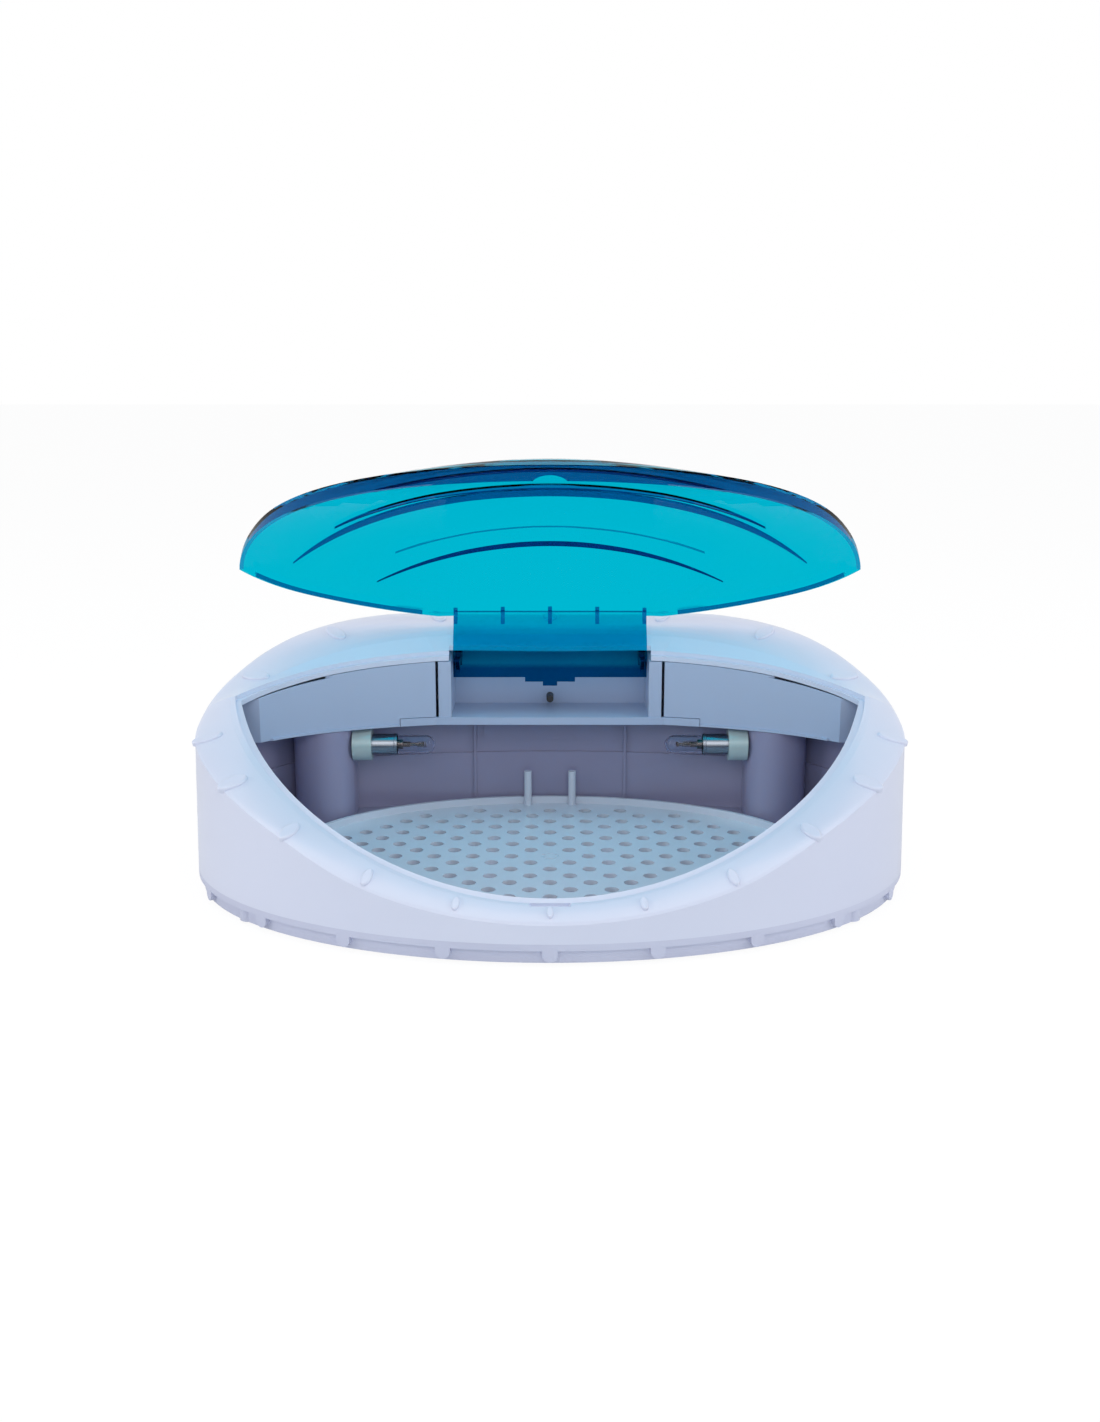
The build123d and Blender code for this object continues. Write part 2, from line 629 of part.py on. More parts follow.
def lamp_post():
    top = PANEL_LOW - FIT
    post = rod(POST_R, TRAY_TOP + FIT, top, POST_X, POST_Y)
    post += block(POST_X - POST_R, POST_X + POST_R, POST_Y, BACK_Y, TRAY_TOP + FIT, top)
    post &= prism(chamber_plan(-STEP_T - FIT), 0, BODY_TOP)
    post -= rod(POST_R - 2, TRAY_TOP, top - 2, POST_X, POST_Y)
    post -= rod_x(4, POST_X - POST_R - 5, POST_X, POST_Y, LAMP_Z)
    for z in POST_SCREWS:
        post += rod_y(3, POST_Y - POST_R + 1, POST_Y + 8, POST_X, z)
        post -= rod_y(SCREW_R, POST_Y - 6, POST_Y + 9, POST_X, z)
    return post


def lamp_socket():
    end = POST_X - POST_R
    socket = rod_x(SOCKET_R, end - SOCKET_L, end, POST_Y, LAMP_Z)
    socket += rod_x(3.8, end - 1, end + 8, POST_Y, LAMP_Z)
    socket -= rod_x(CAP_R + RUN, end - SOCKET_L - 1, end - 2, POST_Y, LAMP_Z)
    return socket - lamp_post_body()


def lamp_post_body():
    return rod(POST_R, 0, BODY_TOP, POST_X, POST_Y) - rod_x(4, 0, POST_X, POST_Y, LAMP_Z)


def lamp_cap():
    end = POST_X - POST_R - 2.2
    low = end - CAP_L - SOCKET_L + 2.2
    cap = rod_x(CAP_R, low, end, POST_Y, LAMP_Z)
    cap -= rod_x(CAP_R - 0.5, low - 1, end - 1, POST_Y, LAMP_Z)
    rolled = Pos(low + 1.2, POST_Y, LAMP_Z) * Rot(0, 90, 0) * Torus(CAP_R - 0.1, 0.5)
    return cap + rolled


def cap_face():
    return POST_X - POST_R - CAP_L - SOCKET_L


def lamp_glass():
    low = cap_face()
    start = low - GLASS_L + GLASS_R

    def bulb(r):
        return rod_x(r, start, low + 8, POST_Y, LAMP_Z) + Pos(start, POST_Y, LAMP_Z) * Sphere(r)
    return bulb(GLASS_R) - bulb(GLASS_R - GLASS_T)


def lamp_stem():
    """Glass pinch, two lead wires and the coiled electrode."""
    low = cap_face()
    stem = rod_x(2.6, low - 3, low + 8, POST_Y, LAMP_Z) + block(low - 7, low - 3, POST_Y - 2.6,
                                                              POST_Y + 2.6, LAMP_Z - 0.9, LAMP_Z + 0.9)
    for side in (-1, 1):
        stem += rod_x(0.4, low - 14, low - 6, POST_Y + side * 1.8, LAMP_Z)
    return stem + rod_y(0.8, POST_Y - 2.4, POST_Y + 2.4, low - 14, LAMP_Z)


def side_panel():
    """Curved panel that hangs under the rear ledge between the hinge bay and the corner."""
    ring = prism(plan(0, REAR_LEDGE - PANEL_T), PANEL_LOW, BODY_TOP)
    ring -= prism(plan(-20, REAR_LEDGE), 0, BODY_TOP)
    start = BAY_HALF + CHEEK + PANEL_GAP
    ring &= block(start, BODY_A, PANEL_FRONT, STRAIGHT_Y, 0, BODY_TOP)
    ring += block(CORNER_X - 10, CORNER_X + 1, PANEL_FRONT, PANEL_FRONT + PANEL_T, PANEL_LOW, BODY_TOP)
    ring -= above_rear(-DROP - LEDGE_T - REAR_LIP - FIT)
    corner = block(0, BODY_A, 0, CORNER_LIP_Y, 0, BODY_TOP)
    ring -= above_rear(-DROP - LEDGE_T - 2 * REAR_LIP - 3 * FIT) & corner
    ring -= block(0, STRIP_HALF + FIT, 0, STRAIGHT_Y, 0, SHELF_TOP + FIT)
    back = prism(chamber_plan(-FIT), PANEL_LOW, PANEL_LOW + PANEL_T)
    back &= block(STRIP_HALF + FIT, BODY_A, PANEL_FRONT, BODY_B, 0, BODY_TOP)
    back -= prism(plan(-20, REAR_LEDGE), 0, BODY_TOP)
    lip = prism(plan(0, REAR_LEDGE), PANEL_LOW, PANEL_LOW + PANEL_LIP)
    lip -= prism(plan(-20, REAR_LEDGE + PANEL_LIP), 0, BODY_TOP)
    lip &= block(STRIP_HALF + FIT, BODY_A, PANEL_FRONT + 4, STRAIGHT_Y, 0, BODY_TOP)
    return ring + back + lip


def hinge_bay():
    bottom = SHELF_TOP - SHELF_T
    outer = BAY_HALF + CHEEK
    front = STRAIGHT_Y - REAR_LEDGE
    bay = block(-outer, outer, front, BAY_BACK + 2, bottom, SHELF_TOP)
    bay += block(-outer, outer, BAY_BACK, BAY_BACK + 2, bottom, BAY_TOP)
    strip = prism(plan(0, REAR_LEDGE - PANEL_T), STRIP_LOW, SHELF_TOP)
    strip -= prism(plan(-20, REAR_LEDGE + PANEL_LIP / 2), 0, BODY_TOP)
    bay += strip & block(-STRIP_HALF, STRIP_HALF, 40, STRAIGHT_Y, 0, BODY_TOP)
    low_top = edge_height(outer, STRAIGHT_Y) - DROP - LEDGE_T - REAR_LIP - FIT
    side = Polyline((front, bottom), (front, low_top), (STRAIGHT_Y + 5, low_top), (HINGE_Y - 8, BAY_TOP - 2),
                    (BAY_BACK + 2, BAY_TOP), (BAY_BACK + 2, bottom), (front, bottom))
    cheek = extrude(Plane.YZ.offset(BAY_HALF) * make_face(side), CHEEK)
    cheek -= rod_x(PIN_R + RUN, BAY_HALF - 1, outer + 1, HINGE_Y, HINGE_Z)
    bay += [cheek, mirror(cheek, Plane.YZ)]
    bay -= rod_y(2 + RUN, BAY_BACK - 1, BAY_BACK + 3, 0, plunger_z())
    return bay


def hinge_pins():
    pin = rod_x(PIN_R, ARM_HALF - WEB_T - 0.5, BAY_HALF + CHEEK - 0.5, HINGE_Y, HINGE_Z)
    return [pin, mirror(pin, Plane.YZ)]


# Interlock switch, pushed by the lid's tab

def plunger_z():
    return HINGE_Z + (ARM_IN + ARM_OUT) / 2 * math.sin(math.radians(BUMP_TO))


def interlock_plunger():
    tip = HINGE_Y + (ARM_IN + ARM_OUT) / 2 * math.cos(math.radians(BUMP_TO)) + 0.9
    pin = rod_y(2, tip, BAY_BACK + 6, 0, plunger_z())
    return pin + rod_y(3, BAY_BACK + 3, BAY_BACK + 4, 0, plunger_z())


def interlock_switch():
    z = plunger_z()
    case = block(-10, 10, BAY_BACK + 2.1, BAY_BACK + 14, z - 7, z + 5)
    case -= block(-4, 4, BAY_BACK, BAY_BACK + 12, z - 4, z + 4)
    case -= rod_y(2.2, BAY_BACK, BAY_BACK + 12, 0, z)
    for x in (-5, 0, 5):
        case += block(x - 1.2, x + 1.2, BAY_BACK + 13, BAY_BACK + 18, z - 3, z - 2.4)
    return case


# Lid, modelled shut and then swung open

def polar(radius, degrees):
    a = math.radians(degrees)
    return HINGE_Y + radius * math.cos(a), HINGE_Z + radius * math.sin(a)


def sector(inner, outer, start, end):
    """Side view of a ring sector about the hinge."""
    mid = (start + end) / 2
    edge = ThreePointArc(polar(outer, start), polar(outer, mid), polar(outer, end))
    edge += Line(polar(outer, end), polar(inner, end))
    edge += ThreePointArc(polar(inner, end), polar(inner, mid), polar(inner, start))
    edge += Line(polar(inner, start), polar(outer, start))
    return make_face(edge)


def hub(lower):
    """Flat middle of one face of the lid."""
    return Face(Wire(ring(lambda a: lid_point(a, LID_HUB, lower))))


def lid_ring(share, lower):
    return ring(lambda a: lid_point(a, share, lower))


def lid_shell():
    """Domed plate with its rolled edge down to the seat, shut."""
    def rim(inset):
        return ring(lambda a: seat_point(a, inset, LID_SEAT_GAP - DROP))

    def under(a):
        return lid_point(a, 1 - LID_T / edge_point(a)[0], LID_T)
    rings = [lid_ring(share, 0) for share in LID_SHARES]
    rings += [rim(LID_GAP), rim(LID_GAP + LID_T), ring(under)]
    rings += [lid_ring(share, LID_T) for share in reversed(LID_SHARES[:-2])]
    return Solid(Shell(skin(rings) + [hub(0), hub(LID_T)]))


def lid_layer(top, bottom):
    """Layer of the lid between two depths below its outer face."""
    rings = [lid_ring(share, top) for share in LID_SHARES[:-1]]
    rings += [lid_ring(share, bottom) for share in reversed(LID_SHARES[:-1])]
    return Solid(Shell(skin(rings) + [hub(top), hub(bottom)]))


def crescent(front_y, half, sag, depth):
    """Plan of a tapering step between two arcs."""
    outer = ThreePointArc((-half, front_y + sag), (0, front_y), (half, front_y + sag))
    inner = ThreePointArc((-half, front_y + sag), (0, front_y + depth), (half, front_y + sag))
    return prism(make_face(outer + inner), 0, BODY_TOP)


def lid_ribs():
    """Plan of the stiffening ribs just inside the two rear edges."""
    ribs = prism(plan(0, LID_RIB_IN) - plan(-20, LID_RIB_IN + LID_RIB_T), 0, BODY_TOP)
    right = block(STRIP_HALF - 12, FRONT_A - 12, SEAT[-1][0] + 2, STRAIGHT_Y, 0, BODY_TOP)
    return (ribs & right) + (ribs & mirror(right, Plane.YZ))


def lid_arm():
    plate = extrude(Plane.YZ * sector(ARM_IN, ARM_OUT, ARM_FROM, ARM_TO), ARM_HALF, both=True)
    web = sector(PIN_R + RUN, ARM_IN + 1, WEB_FROM, ARM_TO)
    web += Plane.XY * Pos(HINGE_Y, HINGE_Z) * Circle(WEB_R)
    web -= Plane.XY * Pos(HINGE_Y, HINGE_Z) * Circle(PIN_R + RUN)
    side = extrude(Plane.YZ.offset(ARM_HALF - WEB_T) * web, WEB_T)
    tab = extrude(Plane.YZ * sector(ARM_IN, ARM_OUT, ARM_TO - 2, TAB_TO), TAB_HALF, both=True)
    bump = extrude(Plane.YZ * sector(ARM_IN, ARM_OUT, ARM_TO, BUMP_TO), BUMP_R, both=True)
    return plate + side + mirror(side, Plane.YZ) + tab + bump


def gussets():
    """Fins in the corner between the arm's front and the plate's underside."""
    top = smooth(LID_LINE, STRAIGHT_Y) - LID_T / 2
    y, z = polar(ARM_OUT - 0.5, ARM_FROM + 3)
    y2, z2 = polar(ARM_OUT - 0.5, ARM_FROM + 25)
    fin = make_face(Polyline((y, top), (y, z - 1), (y2, z2), (y - GUSSET, top), (y, top)))
    return [extrude(Plane.YZ.offset(x - GUSSET_T / 2) * fin, GUSSET_T) for x in GUSSETS]


def swing_open(shape):
    return shape.rotate(Axis((0, HINGE_Y, HINGE_Z), (1, 0, 0)), -OPEN_ANGLE)


def lid():
    shell = lid_shell()
    front = FRONT_Y - FRONT_B
    notch = Plane.XZ.offset(-front + 3) * Pos(0, edge_height(0, front) - DROP) * Ellipse(NOTCH_W / 2, NOTCH_H)
    shell -= extrude(notch, -12)
    shell += [lid_arm()] + gussets()
    shell += lid_ribs() & lid_layer(LID_T / 2, LID_T + LID_RIB_H)
    layer = lid_layer(LID_T / 2, LID_T + STEP_H)
    shell += [crescent(*step) & layer for step in STEPS]
    return swing_open(shell)


# Rear panel and electrics

def power_inlet():
    w, h = INLET_W, INLET_H
    body = block(INLET_X - w / 2, INLET_X + w / 2, RECESS_Y - 16, RECESS_Y,
                 SOCKET_Z - h / 2, SOCKET_Z + h / 2)
    body += block(INLET_X - w / 2 - 2, INLET_X + w / 2 + 2, RECESS_Y, RECESS_Y + 2,
                  SOCKET_Z - h / 2 - 2, SOCKET_Z + h / 2 + 2)
    mouth = Plane.XZ.offset(-RECESS_Y - 3) * Pos(INLET_X, SOCKET_Z) * SlotOverall(16, 8.6)
    body -= extrude(mouth, 14)
    for x in (INLET_X - 4, INLET_X + 4):
        body += rod_y(1.2, RECESS_Y - 13, RECESS_Y - 2, x, SOCKET_Z)
        body += block(x - 2, x + 2, RECESS_Y - 22, RECESS_Y - 15, SOCKET_Z - 0.4, SOCKET_Z + 0.4)
    return body


def rocker_frame():
    w, h = ROCKER_W / 2, ROCKER_H / 2
    y = RECESS_Y
    body = block(ROCKER_X - w, ROCKER_X + w, y - 14, y, SOCKET_Z - h, SOCKET_Z + h)
    body += block(ROCKER_X - w - 1.5, ROCKER_X + w + 1.5, y, y + 1.8, SOCKET_Z - h - 1.5, SOCKET_Z + h + 1.5)
    t = FRAME_T
    body -= block(ROCKER_X - w + t, ROCKER_X + w - t, y - 8, y + 3, SOCKET_Z - h + t, SOCKET_Z + h - t)
    body -= rod(ROCKER_PIN_R + RUN, SOCKET_Z - h - 1, SOCKET_Z + h + 1, ROCKER_X, ROCKER_Y)
    for x in (ROCKER_X - 5, ROCKER_X + 5):
        body += block(x - 2, x + 2, y - 20, y - 13, SOCKET_Z - 0.4, SOCKET_Z + 0.4)
    return body


def rocker():
    """Rocker tipped to its off side."""
    half = ROCKER_W / 2 - 2.6
    side = Polyline((-half, 1.2), (0, 0.9), (half, 3.2), (half, -1.6), (0, -4.5), (-half, -3.6), (-half, 1.2))
    tall = ROCKER_H / 2
    body = extrude(Plane.XY * make_face(side), tall - FRAME_T - FIT, both=True)
    body += rod(ROCKER_PIN_R, FIT - tall, tall - FIT, 0, ROCKER_Y - RECESS_Y - FIT)
    return Pos(ROCKER_X, RECESS_Y + FIT, SOCKET_Z) * body


def ballast_board():
    board = block(-BOARD_HALF, BOARD_HALF, BOARD_FRONT, BOARD_BACK, BOARD_Z, BOARD_Z + BOARD_T)
    for x, y in board_holes():
        board -= rod(1.6, 0, 50, x, y)
    return board


def board_holes():
    return [(x, y) for x in (-BOARD_HALF + 5, BOARD_HALF - 5) for y in (BOARD_FRONT + 4, BOARD_BACK - 6)]


def board_screws():
    top = BOARD_Z + BOARD_T
    return [rod(2.6, top, top + 1.8, x, y) + rod(0.95, top - 7, top, x, y) for x, y in board_holes()]


def choke_core():
    low = BOARD_Z + BOARD_T
    core = block(-46, -26, 90, 110, low, low + 18)
    core -= block(-42, -38, 89, 111, low + 3, low + 15) + block(-34, -30, 89, 111, low + 3, low + 15)
    return core


def choke_winding():
    low = BOARD_Z + BOARD_T
    wind = block(-41.8, -30.2, 86.6, 113.2, low + 3.2, low + 14.8)
    wind = fillet(wind.edges().filter_by(Axis.Z), 3)
    wind -= block(-38, -34, 80, 120, low, low + 20)
    return wind - block(-38.2, -33.8, 89.8, 110.2, low, low + 20)


def capacitors():
    low = BOARD_Z + BOARD_T
    cans = []
    for x, r, h in ((32, 6, 19), (46, 5, 15)):
        can = rod(r, low, low + h, x, 101)
        can = fillet(can.edges().sort_by(Axis.Z)[-1], 0.8)
        can -= block(x - 4, x + 4, 100.8, 101.2, low + h - 0.3, low + h + 1)
        cans.append(can)
    return cans


def starter_relay():
    low = BOARD_Z + BOARD_T
    return chamfer(block(10, 22, 93, 109, low, low + 10).edges(), 0.4)


def terminal_block():
    low = BOARD_Z + BOARD_T
    body = block(-18, 4, TERMINAL_Y, TERMINAL_Y + 8, low, low + 9)
    for x in TERMINALS:
        body -= rod(1.8, low + 5.5, low + 10, x, TERMINAL_Y + 5)
        body -= block(x - 1.8, x + 1.8, TERMINAL_Y - 1, TERMINAL_Y + 2.5, low + 1.3, low + 5.2)
    return body


def fuse():
    low = BOARD_Z + BOARD_T
    body = rod_x(2.6, -18, 2, 107.5, low + 3.5)
    for x in (-18, -1):
        body += block(x, x + 3, 106, 109, low, low + 3)
    return body


def tube(r, points, bend):
    path = FilletPolyline(*points, radius=bend)
    return sweep(path.location_at(0) * Circle(r), path=path)


def lamp_wire(end_x):
    """Leads from the right lamp's socket, down the post and under the chamber to the board."""
    z = BOARD_Z + BOARD_T + TERMINAL_Z
    return tube(WIRE_R, [(POST_X - 7.5, POST_Y, LAMP_Z), (WIRE_X, POST_Y, LAMP_Z),
                         (WIRE_X, POST_Y, WIRE_Z), (BOARD_HALF, WIRE_Y, WIRE_Z),
                         (end_x, WIRE_Y, WIRE_Z), (end_x, WIRE_Y, z), (end_x, TERMINAL_Y + 1.5, z)], 2.5)


def power_wires():
    """Leads between the inlet, the rocker and the terminals."""
    z = BOARD_Z + BOARD_T + TERMINAL_Z
    inlet, tag = RECESS_Y - 22.3, RECESS_Y - 20.3
    live, neutral, switched = TERMINALS[1], INLET_X - 4, ROCKER_X - 5
    r = 0.8
    first = tube(r, [(INLET_X + 4, inlet, SOCKET_Z), (live, 91, SOCKET_Z - 1), (live, 91, z),
                     (live, TERMINAL_Y + 1.5, z)], 1.2)
    second = tube(r, [(neutral, inlet, SOCKET_Z), (neutral, 93, SOCKET_Z),
                      (switched, 93, SOCKET_Z), (switched, tag, SOCKET_Z)], 1.2)
    return_x = ROCKER_X + 5
    third = tube(r, [(return_x, tag, SOCKET_Z), (return_x, 91, SOCKET_Z - 3),
                     (TERMINALS[2], 91, SOCKET_Z - 3), (TERMINALS[2], 91, z),
                     (TERMINALS[2], TERMINAL_Y + 1.5, z)], 1.2)
    return [first, second, third]


def flip(shape):
    return mirror(shape, Plane.YZ)


NODES = {
    "upper_housing": upper_housing,
    "base_plate": base_plate,
    "rubber_feet": rubber_feet,
    "base_screws": base_screws,
    "chamber_liner": lambda: chamber_liner() + tray_ribs(),
    "perforated_tray": perforated_tray,
    "right_lamp_post": lamp_post,
    "right_lamp_socket": lamp_socket,
    "right_lamp_cap": lamp_cap,
    "right_lamp_glass": lamp_glass,
    "right_lamp_electrodes": lamp_stem,
    "right_lamp_wire": lambda: lamp_wire(TERMINALS[3]),
    "right_rear_panel": side_panel,
    "left_lamp_post": lambda: flip(lamp_post()),
    "left_lamp_socket": lambda: flip(lamp_socket()),
    "left_lamp_cap": lambda: flip(lamp_cap()),
    "left_lamp_glass": lambda: flip(lamp_glass()),
    "left_lamp_electrodes": lambda: flip(lamp_stem()),
    "left_lamp_wire": lambda: flip(lamp_wire(-TERMINALS[0])),
    "left_rear_panel": lambda: flip(side_panel()),
    "hinge_bay": hinge_bay,
    "hinge_pins": hinge_pins,
    "interlock_plunger": interlock_plunger,
    "interlock_switch": interlock_switch,
    "lid": lid,
    "power_inlet": power_inlet,
    "rocker_frame": rocker_frame,
    "power_rocker": rocker,
    "ballast_board": ballast_board,
    "board_screws": board_screws,
    "choke_core": choke_core,
    "choke_winding": choke_winding,
    "capacitors": capacitors,
    "starter_relay": starter_relay,
    "terminal_block": terminal_block,
    "fuse": fuse,
    "power_wires": power_wires,
}


def write_parts():
    os.makedirs("parts", exist_ok=True)
    for name, make in NODES.items():
        shape = make()
        if isinstance(shape, list):
            shape = Compound(children=[s for part in shape for s in part.solids()])
        export_step(shape, f"parts/{name}.step")
        print(name, len(shape.solids()), round(shape.volume))


if __name__ == "__main__":
    write_parts()
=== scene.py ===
import math
from collections import namedtuple

import bpy
from mathutils import Matrix, Vector


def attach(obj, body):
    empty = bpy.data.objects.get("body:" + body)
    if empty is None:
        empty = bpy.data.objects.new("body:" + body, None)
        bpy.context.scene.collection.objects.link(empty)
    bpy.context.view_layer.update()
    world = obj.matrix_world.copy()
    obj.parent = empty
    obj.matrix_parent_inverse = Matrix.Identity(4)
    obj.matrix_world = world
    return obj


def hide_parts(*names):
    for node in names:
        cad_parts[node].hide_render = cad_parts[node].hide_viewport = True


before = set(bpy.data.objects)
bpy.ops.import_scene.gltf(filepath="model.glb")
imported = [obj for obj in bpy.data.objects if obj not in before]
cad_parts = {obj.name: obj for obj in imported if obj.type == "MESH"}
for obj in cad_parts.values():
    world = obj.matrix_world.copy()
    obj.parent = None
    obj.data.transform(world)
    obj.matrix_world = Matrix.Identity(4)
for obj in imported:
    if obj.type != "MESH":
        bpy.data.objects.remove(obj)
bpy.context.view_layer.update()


# Colours, written as 0 to 255 screen values and turned to light values

def shade(red, green, blue):
    """Light values of a screen colour, by the standard screen curve."""
    def light(c):
        c /= 255
        return c / 12.92 if c <= 0.04045 else ((c + 0.055) / 1.055) ** 2.4
    return (light(red), light(green), light(blue), 1.0)


LAVENDER_WHITE = shade(214, 219, 236)
LAVENDER_DEEP = shade(204, 210, 230)
BASE_LAVENDER = shade(186, 190, 212)
# Chamber and hinge bay: the housing's plastic, made darker as painted shade and bluer as painted
# light from through the lid
CHAMBER_PAINTED_SHADE = shade(176, 190, 214)
CHAMBER_PAINTED_SHADE_DEEP = shade(166, 180, 208)
# Liner and lamp posts: painted shade, a darker and more purple copy of the housing's plastic
LINER_PAINTED_SHADE = shade(150, 146, 174)
LINER_PAINTED_SHADE_DEEP = shade(136, 138, 168)
TRAY_BLUE = shade(212, 218, 230)
TRAY_DEEP = shade(200, 209, 224)
LID_TURQUOISE = shade(0, 184, 210)
# Painted shade: darker copies of the lid's turquoise for its rolled edge, ribs, fins and ridges
LID_EDGE_PAINTED_SHADE = shade(0, 120, 176)
LID_RIDGE_PAINTED_SHADE = shade(0, 70, 138)
# The arm's turquoise, and its painted shade below, where the dark hinge bay shows through
ARM_BLUE = shade(0, 178, 206)
ARM_PAINTED_SHADE = shade(0, 110, 160)
BULB_GLASS = shade(246, 250, 255)
CERAMIC = shade(186, 204, 206)
CERAMIC_AGED = shade(168, 188, 186)
BLACK = shade(22, 24, 30)
BLACK_WORN = shade(38, 39, 43)
RUBBER = shade(22, 22, 24)
RUBBER_DUSTY = shade(34, 34, 36)
SLEEVE_WHITE = shade(225, 226, 228)
SLEEVE_GREY = shade(205, 206, 210)
BOARD_GREEN = shade(40, 104, 58)
BOARD_DEEP = shade(30, 84, 46)
RELAY_AMBER = shade(214, 160, 60)
RELAY_DEEP = shade(190, 136, 48)
CAN_BLUE = shade(38, 46, 96)
CAN_DEEP = shade(28, 34, 74)
TERMINAL_GREEN = shade(46, 128, 72)
TERMINAL_DEEP = shade(38, 108, 60)
NICKEL = shade(142, 148, 158)
STEEL = shade(120, 124, 132)
ZINC = shade(186, 188, 192)
HOT_WIRE = shade(96, 74, 62)
VARNISHED_STEEL = shade(70, 72, 78)
COPPER = shade(196, 110, 62)
WHITE = (1, 1, 1, 1)


# Node helpers

COLOUR, NUMBER, VECTOR = "NodeSocketColor", "NodeSocketFloat", "NodeSocketVector"
SURFACE = {"Colour": COLOUR, "Roughness": NUMBER, "Normal": VECTOR}    # what a finish gives


def new_group(name, inputs, outputs):
    """Shader group with its two end nodes; each material that uses it sets every input."""
    tree = bpy.data.node_groups.new(name, "ShaderNodeTree")
    for in_out, sockets in (("INPUT", inputs), ("OUTPUT", outputs)):
        for label, kind in sockets.items():
            tree.interface.new_socket(name=label, in_out=in_out, socket_type=kind)
    return tree, tree.nodes.new("NodeGroupInput"), tree.nodes.new("NodeGroupOutput")


def put(tree, socket, value):
    """Sets a socket to a plain number, or links it to another node's output."""
    if isinstance(value, float):
        socket.default_value = value
    else:
        tree.links.new(value, socket)


def work_out(tree, operation, *values):
    node = tree.nodes.new("ShaderNodeMath")
    node.operation = operation
    for socket, value in zip(node.inputs, values):
        put(tree, socket, value)
    return node.outputs["Value"]


def noise(tree, place, size, detail):
    node = tree.nodes.new("ShaderNodeTexNoise")
    put(tree, node.inputs["Vector"], place)
    put(tree, node.inputs["Scale"], size)
    put(tree, node.inputs["Detail"], detail)
    return node.outputs["Fac"]


def raised(tree, height, distance, strength):
    """Normal of a surface that a pattern raises."""
    node = tree.nodes.new("ShaderNodeBump")
    put(tree, node.inputs["Height"], height)
    put(tree, node.inputs["Distance"], distance)
    put(tree, node.inputs["Strength"], strength)
    return node.outputs["Normal"]


def mix_colours(tree, share, first, second):
    node = tree.nodes.new("ShaderNodeMix")
    node.data_type = "RGBA"
    tree.links.new(share, node.inputs["Factor"])
    tree.links.new(first, node.inputs["A"])
    tree.links.new(second, node.inputs["B"])
    return node.outputs["Result"]


def mix_shaders(tree, share, first, second):
    node = tree.nodes.new("ShaderNodeMixShader")
    for socket, value in zip(node.inputs, (share, first, second)):
        tree.links.new(value, socket)
    return node.outputs["Shader"]


# Shared effects

DRIFT_SCALE, DRIFT_DETAIL = 9.0, 2.0              # slow drift of colour
PATCH_SCALE, PATCH_DETAIL = 38.0, 5.0             # rubbed patches
PATCH_LOW, PATCH_HIGH = 0.35, 0.75
GRAIN_DETAIL, GRAIN_RISE = 3.0, 0.0002
LINE_SCALE, LINE_DETAIL = 1.0, 2.0                # drawn lines, before they are stretched
LINE_DULLING, LINE_RISE, LINE_DEPTH = 0.15, 0.0001, 0.15
SPOT_SCALE, SPOT_DETAIL = 160.0, 4.0              # dulled spots


def moulded_plastic():
    """Moulded plastic: slow drift of colour, fine grain and faint rubbed patches."""
    tree, start, end = new_group(
        "moulded_plastic",
        {"Colour": COLOUR, "Second Colour": COLOUR, "Roughness": NUMBER,
         "Rubbed": NUMBER, "Grain Size": NUMBER, "Grain Depth": NUMBER},
        SURFACE)
    given, link = start.outputs, tree.links.new
    place = tree.nodes.new("ShaderNodeTexCoord").outputs["Object"]
    drift = noise(tree, place, DRIFT_SCALE, DRIFT_DETAIL)
    link(mix_colours(tree, drift, given["Colour"], given["Second Colour"]), end.inputs["Colour"])
    spread = tree.nodes.new("ShaderNodeMapRange")
    spread.inputs["From Min"].default_value = PATCH_LOW
    spread.inputs["From Max"].default_value = PATCH_HIGH
    link(noise(tree, place, PATCH_SCALE, PATCH_DETAIL), spread.inputs["Value"])
    patches = spread.outputs["Result"]
    rough = work_out(tree, "MULTIPLY_ADD", patches, given["Rubbed"], given["Roughness"])
    link(rough, end.inputs["Roughness"])
    grain = noise(tree, place, given["Grain Size"], GRAIN_DETAIL)
    link(raised(tree, grain, GRAIN_RISE, given["Grain Depth"]), end.inputs["Normal"])
    return tree


def drawn_metal():
    """Drawn or spun metal: fine lines along one axis, with dulled spots."""
    tree, start, end = new_group(
        "drawn_metal",
        {"Colour": COLOUR, "Tarnish Colour": COLOUR, "Tarnish": NUMBER,
         "Roughness": NUMBER, "Line Stretch": VECTOR},
        SURFACE)
    given, link = start.outputs, tree.links.new
    place = tree.nodes.new("ShaderNodeTexCoord").outputs["Object"]
    stretch = tree.nodes.new("ShaderNodeVectorMath")
    stretch.operation = "MULTIPLY"
    link(place, stretch.inputs[0])
    link(given["Line Stretch"], stretch.inputs[1])
    lines = noise(tree, stretch.outputs["Vector"], LINE_SCALE, LINE_DETAIL)
    spots = noise(tree, place, SPOT_SCALE, SPOT_DETAIL)
    dulled = work_out(tree, "MULTIPLY", spots, given["Tarnish"])
    link(mix_colours(tree, dulled, given["Colour"], given["Tarnish Colour"]), end.inputs["Colour"])
    rough = work_out(tree, "MULTIPLY_ADD", lines, LINE_DULLING, given["Roughness"])
    link(rough, end.inputs["Roughness"])
    link(raised(tree, lines, LINE_RISE, LINE_DEPTH), end.inputs["Normal"])
    return tree


